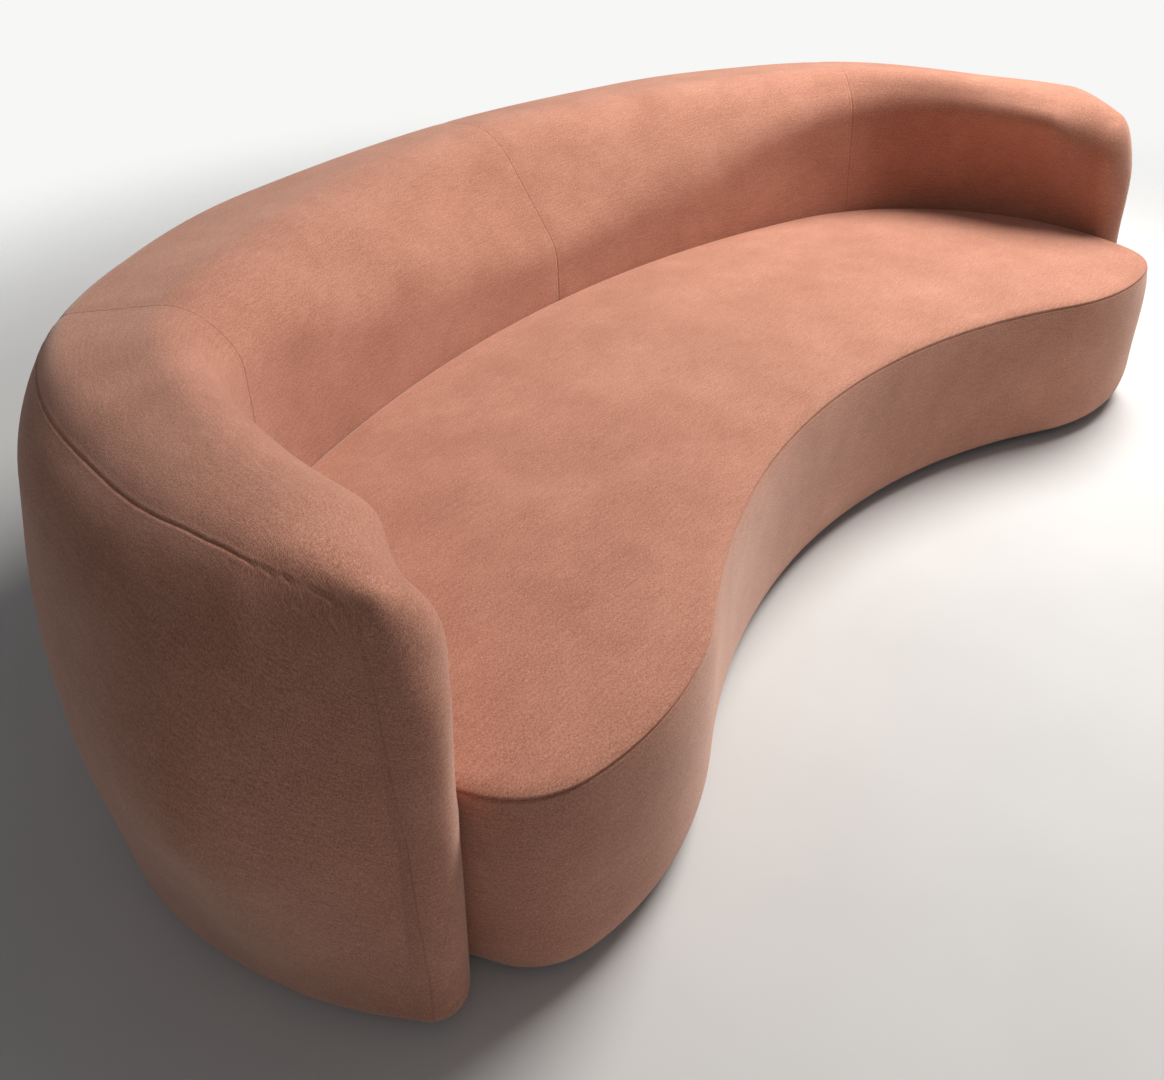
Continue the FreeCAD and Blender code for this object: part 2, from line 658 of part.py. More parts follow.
def back_covers():
    def inner(place):
        return strip(place, 0.0, FABRIC, 0, SEAM_RUN)

    def outer(place):
        return strip(place, 0.0, FABRIC, SEAM_RUN, 12)
    last = 2 * HALF_LENGTH
    seam_z = rounded(END_PLACE, 0.0)[SEAM_RUN][0][1]
    block = ply_box(-3000, 3000, -3000, 3000, 0, seam_z)
    outside = loft_round(outer, 0, last)
    inside = loft_round(inner, 0, last)
    for side, name in ((1, "right"), (-1, "left")):
        half = inside.common(half_side(side))
        panel = half.common(arm_side(side))
        cap = arm_cap(half_strip(0.0, FABRIC), side, 0.0, CORNER_ANGLE)
        corner = arm_cap(half_strip(0.0, FABRIC), side, CORNER_ANGLE, 180.0 - CORNER_ANGLE)
        panel = panel.fuse([cap, corner.cut(block)])
        export(panel.removeSplitter(), "arm_cover_" + name)
        outside = outside.fuse(corner.common(block))
        export(half.cut(arm_side(side)), "back_cover_" + name)
    export(outside.removeSplitter(), "outside_cover")


def straps():
    made = []
    for number, (place, side) in enumerate(strap_places()):
        origin, out = place_on_path(place, side)
        along = FreeCAD.Vector(-out.y, out.x, 0)
        corners = [origin + out * a * STRAP_LENGTH / 2 + along * b * STRAP_WIDTH / 2
                   for a, b in ((-1, -1), (1, -1), (1, 1), (-1, 1))]
        corners = [FreeCAD.Vector(c.x, c.y, FOOT_HEIGHT - STRAP_THICKNESS) for c in corners]
        bar = Part.Face(Part.makePolygon(corners + corners[:1]))
        bar = bar.extrude(FreeCAD.Vector(0, 0, STRAP_THICKNESS))
        made.append(cut_all(bar, screw_holes(0, DECK, STRAP_HOLES[2 * number:2 * number + 2])))
    export(Part.makeCompound(made), "joining_straps")
    export(screws(STRAP_HOLES, FOOT_HEIGHT - STRAP_THICKNESS, SCREW_LENGTH - 10.0), "strap_screws")


os.makedirs("parts", exist_ok=True)
seat_unit()
seat_soft()
back_frame()
back_foam()
back_covers()
straps()
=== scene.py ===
# %% [markdown]
# A curved sofa: a thick upholstered back wraps round a kidney-shaped seat and ends in two thin
# rounded arms. The wooden frame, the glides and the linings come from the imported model. What shows
# is cloth, so this file remakes the two upholstered bodies as smooth, dense forms with their seams,
# and gives every piece a finish worked out by nodes.

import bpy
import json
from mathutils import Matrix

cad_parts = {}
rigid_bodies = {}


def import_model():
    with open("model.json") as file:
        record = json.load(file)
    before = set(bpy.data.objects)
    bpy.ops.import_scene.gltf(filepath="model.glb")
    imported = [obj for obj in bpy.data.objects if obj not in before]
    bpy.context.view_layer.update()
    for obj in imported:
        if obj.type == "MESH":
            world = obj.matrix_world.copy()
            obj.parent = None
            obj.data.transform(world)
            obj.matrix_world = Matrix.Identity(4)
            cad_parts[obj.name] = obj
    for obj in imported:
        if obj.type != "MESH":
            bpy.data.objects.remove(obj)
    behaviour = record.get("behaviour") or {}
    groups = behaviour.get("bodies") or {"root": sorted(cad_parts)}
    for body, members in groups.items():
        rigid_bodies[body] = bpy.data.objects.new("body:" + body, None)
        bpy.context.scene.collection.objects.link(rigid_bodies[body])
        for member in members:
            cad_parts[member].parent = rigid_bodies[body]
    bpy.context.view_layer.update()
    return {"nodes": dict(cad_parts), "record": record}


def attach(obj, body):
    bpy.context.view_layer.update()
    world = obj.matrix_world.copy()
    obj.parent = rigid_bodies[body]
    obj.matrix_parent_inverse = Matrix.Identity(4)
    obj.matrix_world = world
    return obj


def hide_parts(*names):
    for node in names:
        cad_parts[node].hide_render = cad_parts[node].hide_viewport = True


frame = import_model()
print("pieces in the packed model:", len(frame["nodes"]))

# %% Imports
import json
import math

import bmesh
import bpy
import numpy as np
from mathutils import Matrix, Vector
from mathutils.bvhtree import BVHTree
from mathutils.kdtree import KDTree

# %% [markdown]
# The seat's edge is a chain of tangent arcs: a shallow hollow at the front, a sweep out to the
# front lobe, a tight turn round the lobe, a long turn past the arm, and the arc behind the sitter.
# Each arc is kept as its centre, its radius and the headings where it starts and ends, in degrees.
# An arc can then be drawn in by any inset just by changing its radius, which is how the rings of
# the seat are made later. All lengths are in metres.

# %% Plan of the seat edge
# Last heading and radius of each arc. A negative radius turns the other way.
FRONT = (-31.3, -1.277)
SWEEP = (10.6, 0.471)
LOBE = (65.7, 0.144)
ROUND_THE_ARM = (159.5, 0.557)
ARM_END_HEADING = 67.7
CENTRE_DEPTH = 0.445
UNIT_GAP = 0.0004


def plan_arcs():
    x, y, heading, arcs = 0.0, 0.0, 0.0, []
    for last, radius in (FRONT, SWEEP, LOBE, ROUND_THE_ARM):
        cx = x - radius * math.sin(math.radians(heading))
        cy = y + radius * math.cos(math.radians(heading))
        arcs.append([cx, cy, radius, heading, last])
        x = cx + radius * math.sin(math.radians(last))
        y = cy - radius * math.cos(math.radians(last))
        heading = last
    radius = x / math.sin(math.radians(heading))
    arcs.append([0.0, y + radius * math.cos(math.radians(heading)), radius, heading, 180.0])
    rear = arcs[4][1] + radius
    shift = -(arcs[1][1] - SWEEP[1] + rear + UNIT_GAP + CENTRE_DEPTH) / 2
    for arc in arcs:
        arc[1] += shift
    return arcs


ARCS = plan_arcs()
print("front lobes reach y =", round(ARCS[1][1] - SWEEP[1], 3))

# %% [markdown]
# The back is drawn as one upright section carried along the rear part of that edge. The section
# is a polygon of seven corners: the knee where an arm starts to hang over the seat, the point where
# the inner face starts to lean, the inner crest, the outer crest, the shoulder, the widest point
# outside and the foot. Its corners are listed at six places between the arm end and the middle, and
# blended in between without overshooting. Along the arms the inner face bulges over the seat as a
# soft roll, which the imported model, with its upright inner face, leaves to this file.

# %% Section of the back at its named places
FOOT = 0.020
HEIGHT = 0.736
ARM_DROP = 0.046
END_THICKNESS = 0.092
SIDE_SEAM = 0.740
ARC_LENGTH = math.radians(ROUND_THE_ARM[0] - ARM_END_HEADING) * ROUND_THE_ARM[1]
HALF_LENGTH = ARC_LENGTH + math.radians(180 - ROUND_THE_ARM[0]) * ARCS[4][2]
END_PLACE = END_THICKNESS / 2 + 0.010
KNEE = 0.405
END_SHIFT = 0.015
END_OVER, ARM_OVER, CREST_SHARE = 0.058, 0.108, 0.6


# One row of seven corners, each as a depth and a height. Lean and drops are measured down from the
# top, and inner, outer, seam, wide and foot are shares of the full depth or height. An arm's crest
# follows a part of its overhang.
def corner_row(top, depth, lean, inner, outer, outer_drop, seam, seam_drop, wide, foot,
               over=0.0, shift=0.0):
    return [0.0, KNEE, -over, top - lean, depth * inner - over * CREST_SHARE, top,
            depth * outer - shift, top - outer_drop,
            depth * seam - shift, top - seam_drop, depth, top * wide, depth * foot, FOOT]


PLACES = np.array([END_PLACE, 0.2, 0.38, SIDE_SEAM, 1.2, HALF_LENGTH])
ROWS = np.array([
    corner_row(HEIGHT - ARM_DROP, END_THICKNESS, .055, .35, .65, 0, 1, .055, .5, 1, END_OVER,
               END_SHIFT),
    corner_row(HEIGHT - .65 * ARM_DROP, .245, .058, .17, .32, .005, .68, .078, .61, .59,
               ARM_OVER),
    corner_row(HEIGHT - .35 * ARM_DROP, .256, .070, .12, .4, .020, .785, .084, .53, .83,
               .8 * ARM_OVER),
    corner_row(HEIGHT - .006, .347, .080, .207, .82, .023, .9, .085, .55, .785),
    corner_row(HEIGHT - .006, .405, .165, .32, .93, .024, .985, .058, .575, .81),
    corner_row(HEIGHT, CENTRE_DEPTH, .255, .43, .835, .021, .953, .080, .585, .81)])
print("the path round the seat is", round(2 * HALF_LENGTH, 3), "m long")


# %% Blend the corners between the named places
def blended(place):
    rises = np.diff(ROWS, axis=0) / np.diff(PLACES)[:, None]
    slopes = np.zeros_like(ROWS)
    slopes[0] = rises[0]
    for i in range(1, len(PLACES) - 1):
        a, b = rises[i - 1], rises[i]
        safe = np.where(a * b > 0, a + b, 1.0)
        slopes[i] = np.where(a * b > 0, 2 * a * b / safe, 0.0)
    i = min(max(int(np.searchsorted(PLACES, place)) - 1, 0), len(PLACES) - 2)
    h = PLACES[i + 1] - PLACES[i]
    t = (place - PLACES[i]) / h
    return ((2 * t**3 - 3 * t**2 + 1) * ROWS[i] + (t**3 - 2 * t**2 + t) * h * slopes[i]
            + (3 * t**2 - 2 * t**3) * ROWS[i + 1] + (t**3 - t**2) * h * slopes[i + 1])


# %% [markdown]
# Upholstery foam has no hard corners, so each corner of the section is turned into an arc that is
# tangent to both its sides. Every run gets the same number of points at every place, which lets
# neighbouring sections be joined point to point.

# %% Rounded section
REACH = (.4, .47, .47, .45, .45, .45, .25)
LEAN_REACH = .35
SEAM_RUN, CREST_RUN = 8, 6
RUN_POINTS = 14


def section(place):
    corners = np.vstack([[0.0, FOOT], blended(place).reshape(7, 2), [0.0, FOOT]])
    points, last = [], corners[0]
    for i in range(1, 8):
        a, b, c = corners[i - 1], corners[i], corners[i + 1]
        la, lc = np.linalg.norm(a - b), np.linalg.norm(c - b)
        reach = REACH[i - 1] * min(la, lc)
        if i == 2:
            reach = min(reach, LEAN_REACH * lc)
        p, q = b + (a - b) / la * reach, b + (c - b) / lc * reach
        t = np.linspace(0, 1, RUN_POINTS, endpoint=False)[:, None]
        points.append(last + (p - last) * t)
        points.append(rounding(p, b, q, t))
        last = q
    points.append(last[None])
    return np.vstack(points)


# A circular arc from p to q, tangent to the sides that meet at b.
def rounding(p, b, q, t):
    u, v = (p - b) / np.linalg.norm(p - b), (q - b) / np.linalg.norm(q - b)
    half = math.acos(max(-1.0, min(1.0, float(u @ v)))) / 2
    weight = max(math.sin(half), .05)
    w = 2 * t * (1 - t) * weight
    total = (1 - t)**2 + w + t**2
    return ((1 - t)**2 * p + w * b + t**2 * q) / total


middle = section(HALF_LENGTH)
print("section in the middle: depth", round(middle[:, 0].max(), 3),
      "top", round(middle[:, 1].max(), 3))

# %% [markdown]
# A place on the path is a distance from the right arm end, all the way round to the left one. The
# left half is the right half seen in a mirror.

# %% Along the path
def on_path(place, forward=0.0):
    side = 1 if place <= HALF_LENGTH else -1
    near = place if side > 0 else 2 * HALF_LENGTH - place
    near -= forward
    if near <= ARC_LENGTH:
        cx, cy, radius = ARCS[3][:3]
        a = math.radians(ARM_END_HEADING) + near / radius
    else:
        cx, cy, radius = ARCS[4][:3]
        a = math.radians(ROUND_THE_ARM[0]) + (near - ARC_LENGTH) / radius
    r = radius + UNIT_GAP
    origin = np.array([side * (cx + r * math.sin(a)), cy - r * math.cos(a)])
    return origin, np.array([side * math.sin(a), -math.cos(a)])


def smooth(t):
    t = np.clip(t, 0, 1)
    return t * t * (3 - 2 * t)


# %% [markdown]
# The two arm ends differ in the photograph: the left one bulges forward below seat height and the
# right one stops short. The top of each arm droops towards its end.

# %% How the arm ends reach and droop
SEAM_HEIGHT = 0.350
LEFT_REACH = ((0, .35, .65), (.011, .024, .0))
RIGHT_REACH = -.032
REACH_FADE = .30
DROOP, DROOP_LENGTH = .15, .20


def arm_reach(place, z):
    near = min(place, 2 * HALF_LENGTH - place)
    fade = 1 - smooth((near - END_PLACE) / REACH_FADE)
    return float(fade * (RIGHT_REACH if place < HALF_LENGTH else np.interp(z, *LEFT_REACH)))


def drooped(near, z):
    share = DROOP * max(0.0, 1 - near / DROOP_LENGTH)**2
    return z - max(z - SEAM_HEIGHT, 0.0) * share


def carried(place, line):
    near = min(place, 2 * HALF_LENGTH - place)
    placed = []
    for n, z in line:
        origin, out = on_path(place, arm_reach(place, z))
        placed.append([*(origin + out * n), drooped(near, z)])
    return placed


tip = carried(END_PLACE, [(0.0, SEAM_HEIGHT)])[0]
print("the right arm's end section stands at", [round(float(c), 3) for c in tip])

# %% [markdown]
# Sections stand close together where the surface has fine detail: at the three upright seams, and
# over the first centimetres of each arm, where the long seam turns its corner.

# %% Places of the sections
CORNER_PLACE = .116
STEP, END_STEP = .0085, .002
SEAM_STEPS = np.array([-.010, -.006, -.003, -.0012, 0, .0012, .003, .006, .010])
SEAM_ZONE = .012


def places_along():
    marks = [END_PLACE, SIDE_SEAM, HALF_LENGTH, 2 * HALF_LENGTH - SIDE_SEAM,
             2 * HALF_LENGTH - END_PLACE]
    far_corner = marks[-1] + END_PLACE - CORNER_PLACE
    found = [marks[:1], np.arange(marks[0] + END_STEP, CORNER_PLACE, END_STEP)]
    for a, b in zip(marks, marks[1:]):
        first = CORNER_PLACE + 2 * END_STEP if a == marks[0] else a + SEAM_ZONE
        last = far_corner - 2 * END_STEP if b == marks[-1] else b - SEAM_ZONE
        found.append(np.linspace(first, last, int(round((last - first) / STEP)) + 1))
        if b < marks[-1]:
            found.append(b + SEAM_STEPS)
    found += [np.arange(far_corner, marks[-1] - END_STEP / 2, END_STEP), marks[-1:]]
    return np.concatenate(found)


ALONG = places_along()
print("sections along the back:", len(ALONG))

# %% [markdown]
# Each section is cut into two halves at the middle of its crest, so that the outer half can be
# packed closer near the long seam on the shoulder. That seam follows the start of the shoulder's
# run, shifted a little by place. The last columns turn under the body: a real cover is pulled
# round the bottom edge and stapled there.

# %% Columns of one section
INNER_COLUMNS = 88
BEFORE_SEAM, AFTER_SEAM = 20, 67
SEAM_COLUMN = INNER_COLUMNS + BEFORE_SEAM + 1
SEAM_SHIFTS = ((.08, .12, .16, .20, .25, .30, .38, .55, .65, .74),
               (.0, -.014, -.022, -.030, -.032, -.026, -.018, -.012, -.012, .0))


def lengths(points):
    steps = np.linalg.norm(np.diff(points, axis=0), axis=1)
    return np.concatenate([[0], np.cumsum(steps)])


def at_lengths(points, along, wanted):
    return np.column_stack([np.interp(wanted, along, column) for column in points.T])


def column_lengths(points, place):
    along = lengths(points)
    crest = (along[CREST_RUN * RUN_POINTS] + along[(CREST_RUN + 1) * RUN_POINTS]) / 2
    seam = along[SEAM_RUN * RUN_POINTS] + float(np.interp(place, *SEAM_SHIFTS))
    return along, np.concatenate([
        np.linspace(0, crest, INNER_COLUMNS + 1),
        np.linspace(crest, seam - SEAM_ZONE, BEFORE_SEAM - 3)[1:],
        seam + SEAM_STEPS,
        np.linspace(seam + SEAM_ZONE, along[-1], AFTER_SEAM - 3)[1:]])


def columns(place):
    points = section(place)
    along, wanted = column_lengths(points, place)
    return at_lengths(points, along, wanted), wanted


sample, sample_lengths = columns(SIDE_SEAM)
print("columns round a section:", len(sample), "girth", round(sample_lengths[-1], 3), "m")

# %% Grid of the back
TUCK_IN, TUCK_UP = .012, .0025
TUCKED_CLOTH = .01


def back_grid():
    verts, coords = [], []
    for place in ALONG:
        line, wanted = columns(min(place, 2 * HALF_LENGTH - place))
        under = np.array([[line[-1, 0] - TUCK_IN, FOOT + TUCK_UP], [TUCK_IN, FOOT + TUCK_UP]])
        line = np.vstack([line, under])
        wanted = np.concatenate([wanted, [wanted[-1] + TUCKED_CLOTH, -TUCKED_CLOTH]])
        verts.append(carried(place, line))
        coords.append(np.column_stack([np.full(len(line), place), wanted]))
    return np.array(verts), np.array(coords)


# %% [markdown]
# The arm end is half of the end section turned about an upright line, like a bull's nose. That
# line leans inwards above the knee, because the crest there hangs over the seat. The first meridian
# is the inner half of the end section and the last is the outer half, so the two weld to the long
# grid without a step.

# %% Grid of an arm end
MERIDIANS = 140
MIDDLE_TURN, MIDDLE_RISE = KNEE - .04, .24

end_points = section(END_PLACE)
end_along, end_wanted = column_lengths(end_points, END_PLACE)
INNER_HALF = at_lengths(end_points, end_along, end_wanted[:INNER_COLUMNS + 1])
OUTER_HALF = at_lengths(end_points, end_along, end_wanted[INNER_COLUMNS:])[::-1]
OUTER_LENGTHS = (end_along[-1] - end_wanted[INNER_COLUMNS:])[::-1]
UNDERSIDE = np.array([[END_THICKNESS / 2, FOOT + TUCK_UP], [TUCK_IN, FOOT + TUCK_UP]])


# Depth of the line that the end turns about, at each height.
def end_middle(z):
    shift = END_THICKNESS / 2 - INNER_HALF[-1, 0]
    return END_THICKNESS / 2 - shift * smooth((z - MIDDLE_TURN) / MIDDLE_RISE)


def meridian(side, angle):
    place = END_PLACE if side > 0 else 2 * HALF_LENGTH - END_PLACE
    share = smooth(angle / math.pi)
    inner = np.vstack([UNDERSIDE, INNER_HALF])
    outer = np.vstack([UNDERSIDE, OUTER_HALF])
    outer[:2, 0] = END_THICKNESS - outer[:2, 0]
    inner_radius = end_middle(inner[:, 1]) - inner[:, 0]
    outer_radius = outer[:, 0] - end_middle(outer[:, 1])
    heights = inner[:, 1] * (1 - share) + outer[:, 1] * share
    radii = inner_radius * (1 - share) + outer_radius * share
    placed = []
    for radius, z in zip(radii, heights):
        origin, out = on_path(place, arm_reach(place, z))
        tangent = np.array([-out[1], out[0]]) * side
        way = -out * math.cos(angle) - tangent * math.sin(angle)
        near = END_PLACE - radius * math.sin(angle)
        placed.append([*(origin + out * end_middle(z) + way * radius), drooped(near, z)])
    return np.array(placed)


def arm_end_grid(side):
    place = END_PLACE if side > 0 else 2 * HALF_LENGTH - END_PLACE
    verts, coords = [], []
    for angle in np.linspace(0, math.pi, MERIDIANS):
        share = smooth(angle / math.pi)
        at = end_wanted[:INNER_COLUMNS + 1] * (1 - share) + OUTER_LENGTHS * share
        verts.append(meridian(side, angle))
        at = np.concatenate([[-4 * TUCKED_CLOTH, -TUCKED_CLOTH], at])
        round_the_end = place - side * angle * END_THICKNESS / 2
        coords.append(np.column_stack([np.full(len(at), round_the_end), at]))
    return np.array(verts), np.array(coords)


back_verts, back_coords = back_grid()
ends = {side: arm_end_grid(side) for side in (1, -1)}
print("points: back", back_verts.shape, "arm end", ends[1][0].shape)

# %% [markdown]
# Grids become one mesh here. Each grid keeps its own cloth coordinates in metres, so the weave is
# at its real scale and follows the panel, and points that coincide are welded afterwards.

# %% Weld grids into one mesh
WELD = .0002


def quads(rows, cols, start, closed):
    i, j = np.meshgrid(np.arange(rows - 1), np.arange(cols if closed else cols - 1), indexing="ij")
    k = (j + 1) % cols
    return np.stack([start + i * cols + j, start + (i + 1) * cols + j,
                     start + (i + 1) * cols + k, start + i * cols + k], -1).reshape(-1, 4)


def mesh_from(name, grids):
    verts = np.vstack([v.reshape(-1, 3) for v, _, _, _ in grids])
    coords = np.vstack([c.reshape(-1, 2) for _, c, _, _ in grids])
    faces, start = [], 0
    for v, _, closed, flip in grids:
        found = quads(v.shape[0], v.shape[1], start, closed)
        faces.append(found[:, ::-1] if flip else found)
        start += v.shape[0] * v.shape[1]
    faces = np.vstack(faces)
    mesh = bpy.data.meshes.new(name)
    mesh.from_pydata(verts.tolist(), [], faces.tolist())
    layer = mesh.uv_layers.new(name="cloth")
    layer.data.foreach_set("uv", coords[faces.ravel()].astype(np.float32).ravel())
    shape = bmesh.new()
    shape.from_mesh(mesh)
    bmesh.ops.remove_doubles(shape, verts=shape.verts, dist=WELD)
    bmesh.ops.recalc_face_normals(shape, faces=shape.faces)
    shape.to_mesh(mesh)
    shape.free()
    mesh.shade_smooth()
    piece = bpy.data.objects.new(name, mesh)
    bpy.context.scene.collection.objects.link(piece)
    return piece


back_body = mesh_from("back_upholstery", [
    (back_verts, back_coords, True, False),
    (ends[1][0], ends[1][1], False, False),
    (ends[-1][0], ends[-1][1], False, True)])
print("back faces:", len(back_body.data.polygons))

# %% [markdown]
# The seams: one upright seam in the middle of the inner face, one on each side, and the long seam
# where the outer panel meets the inner ones. The long seam runs along the shoulder, turns a
# rounded corner at the arm end and runs down to the floor. Its corner is a list of points, each
# a distance round the end and a height above the floor. The seams are kept as lines of points,
# and the cloth is drawn in along them later.

# %% Seam lines of the back
CORNER_SEAM = np.array([(.032, .020), (.0325, .10), (.040, .24), (.0456, .35), (.047, .48),
                        (.048, .575), (.051, .612), (.058, .635), (.068, .649), (.080, .6565),
                        (.098, .667), (CORNER_PLACE, .674)])
CORNER_POINTS, CORNER_SMOOTHING = 130, 12


# Point on the outer side of an end, at a distance round it and a height.
def outer_point(side, around, z):
    if around < END_PLACE:
        line = meridian(side, math.pi - (END_PLACE - around) / (END_THICKNESS / 2))[2:]
    else:
        points = section(around)
        line = points[int(np.argmax(points[:, 1])):][::-1]
        line = np.array(carried(around if side > 0 else 2 * HALF_LENGTH - around, line))
    return [float(np.interp(z, line[:, 2], line[:, k])) for k in (0, 1)] + [z]


def corner_line(side):
    at = lengths(CORNER_SEAM)
    curve = at_lengths(CORNER_SEAM, at, np.linspace(0, at[-1], CORNER_POINTS))
    for _ in range(CORNER_SMOOTHING):
        curve[1:-1] = (curve[:-2] + curve[2:]) / 2
    return np.array([outer_point(side, around, z) for around, z in curve])


rows = (ALONG > CORNER_PLACE) & (ALONG < 2 * HALF_LENGTH - CORNER_PLACE)
long_seam = np.vstack([corner_line(1), back_verts[rows, SEAM_COLUMN], corner_line(-1)[::-1]])
upright_seams = [back_verts[int(np.argmin(np.abs(ALONG - place))), :SEAM_COLUMN + 1]
                 for place in (SIDE_SEAM, HALF_LENGTH, 2 * HALF_LENGTH - SIDE_SEAM)]
print("long seam:", round(lengths(long_seam)[-1], 2), "m")

# %% [markdown]
# The points of a mesh are read and written as one array. The distance from every point to a seam
# comes from a search tree that holds the seam as closely spaced points.

# %% Points of a mesh and distances to a seam
SEAM_SAMPLING = .0015


def seam_distance(points, line):
    along = lengths(line)
    at = np.arange(0, along[-1], SEAM_SAMPLING)
    fine = at_lengths(line, along, at)
    tree = KDTree(len(fine))
    for i, p in enumerate(fine):
        tree.insert(p, i)
    tree.balance()
    distance, where = np.zeros(len(points)), np.zeros(len(points))
    for i, p in enumerate(points):
        _, k, d = tree.find(p)
        distance[i], where[i] = d, at[k]
    return distance, where


def positions(mesh):
    co = np.zeros(len(mesh.vertices) * 3, np.float32)
    mesh.vertices.foreach_get("co", co)
    return co.reshape(-1, 3).astype(float)


def vertex_normals(mesh):
    mesh.update()
    found = np.zeros(len(mesh.vertices) * 3, np.float32)
    mesh.vertex_normals.foreach_get("vector", found)
    return found.reshape(-1, 3).astype(float)


def place_points(mesh, co):
    mesh.vertices.foreach_set("co", co.astype(np.float32).ravel())
    mesh.update()


# %% [markdown]
# The arm ends are pressed foam with no crisp crest, so the upper part of each end is relaxed: every
# point there moves to the middle of its neighbours, again and again, with a soft limit below and
# towards the back.

# %% Relax the arm ends
RELAX_ROUNDS = 110
RELAX_RADIUS, RELAX_FADE = .05, .10
RELAX_FLOOR, RELAX_RISE = .50, .12


def relax(piece, share, rounds):
    mesh = piece.data
    ends_of = np.zeros(len(mesh.edges) * 2, np.int32)
    mesh.edges.foreach_get("vertices", ends_of)
    a, b = ends_of[0::2], ends_of[1::2]
    co = positions(mesh)
    loose = np.flatnonzero(share > 0)
    keep = np.isin(a, loose) | np.isin(b, loose)
    a, b = a[keep], b[keep]
    count = np.bincount(a, minlength=len(co)) + np.bincount(b, minlength=len(co))
    for _ in range(rounds):
        total = np.column_stack([
            np.bincount(a, co[b, k], len(co)) + np.bincount(b, co[a, k], len(co))
            for k in range(3)])
        co[loose] += (total[loose] / count[loose, None] - co[loose]) * share[loose, None]
    place_points(mesh, co)


def end_share(co):
    share = np.zeros(len(co))
    for side in (1, -1):
        tip = meridian(side, math.pi / 2)[-1, :2]
        gap = np.linalg.norm(co[:, :2] - tip, axis=1)
        near = 1 - smooth((gap - RELAX_RADIUS) / RELAX_FADE)
        share = np.maximum(share, near * smooth((co[:, 2] - RELAX_FLOOR) / RELAX_RISE))
    return share


relax(back_body, end_share(positions(back_body.data)), RELAX_ROUNDS)
print("top of the relaxed body:", round(float(positions(back_body.data)[:, 2].max()), 4))

# %% [markdown]
# A seam in taut cloth shows as a hairline groove with a low lip of folded cloth on both sides and a
# soft valley round it, because the seam allowance is pulled towards the foam. Along it the cloth
# gathers very slightly between stitches. The seam lines are laid on the relaxed body first, and
# then the points near them sink along their normals.

# %% Draw the cloth in along seams
GROOVE, GROOVE_WIDTH = .0013, .0013
LIP, LIP_WIDTH = .0007, .0040
VALLEY, VALLEY_WIDTH = .0012, .016
BACK_STRENGTHS = (1.2, .9, .9, .9)
LONG_GATHER, SHORT_GATHER = (.25, .021), (.20, .0137)


def laid_on(piece, line):
    mesh = piece.data
    skin = BVHTree.FromPolygons([v.co for v in mesh.vertices], [p.vertices for p in mesh.polygons])
    return np.array([skin.find_nearest(Vector(p))[0] for p in line])


def wave(at, size, length, shift=0):
    return size * np.sin(at * 2 * math.pi / length + shift)


def draw_in(piece, lines, strengths, valley=VALLEY):
    co, normals = positions(piece.data), vertex_normals(piece.data)
    sink = np.zeros(len(co))
    for number, (line, strength) in enumerate(zip(lines, strengths)):
        d, at = seam_distance(co, line)
        width = GROOVE_WIDTH * strength**.5
        gather = wave(at, *LONG_GATHER, number) + wave(at, *SHORT_GATHER)
        soft = valley * (1 + gather * .5) * np.exp(-(d / VALLEY_WIDTH)**2)
        groove = (GROOVE + LIP) * np.exp(-(d / width)**2) - LIP * np.exp(-(d / LIP_WIDTH)**2)
        sink += soft + groove * strength
    place_points(piece.data, co - normals * sink[:, None])
    print(piece.name, "deepest sink in mm:", round(sink.max() * 1000, 2))


draw_in(back_body, [laid_on(back_body, line) for line in [long_seam] + upright_seams],
        BACK_STRENGTHS)

# %% [markdown]
# The seat is one tight pad. From the edge seam inwards the cloth climbs steeply for a few
# centimetres and then ever more gently, as any stuffed form does. From the seam down, the front
# border is a little full and turns in at the bottom. The pad is a set of closed rings: insets of
# the edge near the rim, then the innermost ring shrunk step by step to the middle. Past the arm
# ends the border stands against the back, so there it stays upright.

# %% Points round the seat's edge
RING_STEP = .0095
SHOWN_FROM, SHOWN_FADE = .01, .08


def edge_stations():
    right = []
    for arc in ARCS:
        span = abs(math.radians(arc[4] - arc[3]) * arc[2])
        for a in np.linspace(arc[3], arc[4], max(3, int(span / RING_STEP)), endpoint=False):
            right.append((arc[0], arc[1], arc[2], math.radians(a)))
    last = ARCS[4]
    right.append((last[0], last[1], last[2], math.radians(180.0)))
    right = np.array(right)
    sides = np.concatenate([np.ones(len(right)), -np.ones(len(right) - 2)])
    return np.vstack([right, right[1:-1][::-1]]), sides


EDGE, EDGE_SIDE = edge_stations()
EDGE_HEADING = np.degrees(EDGE[:, 3])
PAST_ARM_END = np.radians(EDGE_HEADING - ARM_END_HEADING) * ROUND_THE_ARM[1]
SHOWN = 1 - smooth((PAST_ARM_END - SHOWN_FROM) / SHOWN_FADE)


def edge_ring(inset):
    r = EDGE[:, 2] - inset
    x = EDGE_SIDE * (EDGE[:, 0] + r * np.sin(EDGE[:, 3]))
    return np.column_stack([x, EDGE[:, 1] - r * np.cos(EDGE[:, 3])])


edge = edge_ring(0.0)
MIDDLE = np.array([0, (edge[0, 1] + edge[len(EDGE) // 2, 1]) / 2])
print("points round the seat:", len(EDGE), "reaching x =", round(edge[:, 0].max(), 3))

# %% [markdown]
# Stuffing under a taut cloth held all round its edge takes the shape of a stretched skin with an
# even push from below. That is worked out on a square grid of points inside the edge: each point
# settles to the level of its four neighbours plus the push. A power below one fills the sides out,
# as firm foam does.

# %% Even push under a stretched cloth
CELL = .008
GRID_X, GRID_Y = np.arange(-1.28, 1.28, CELL), np.arange(-.80, .40, CELL)
SETTLING_ROUNDS, OVERSHOOT = 700, 1.94
CROWN_POWER = .45


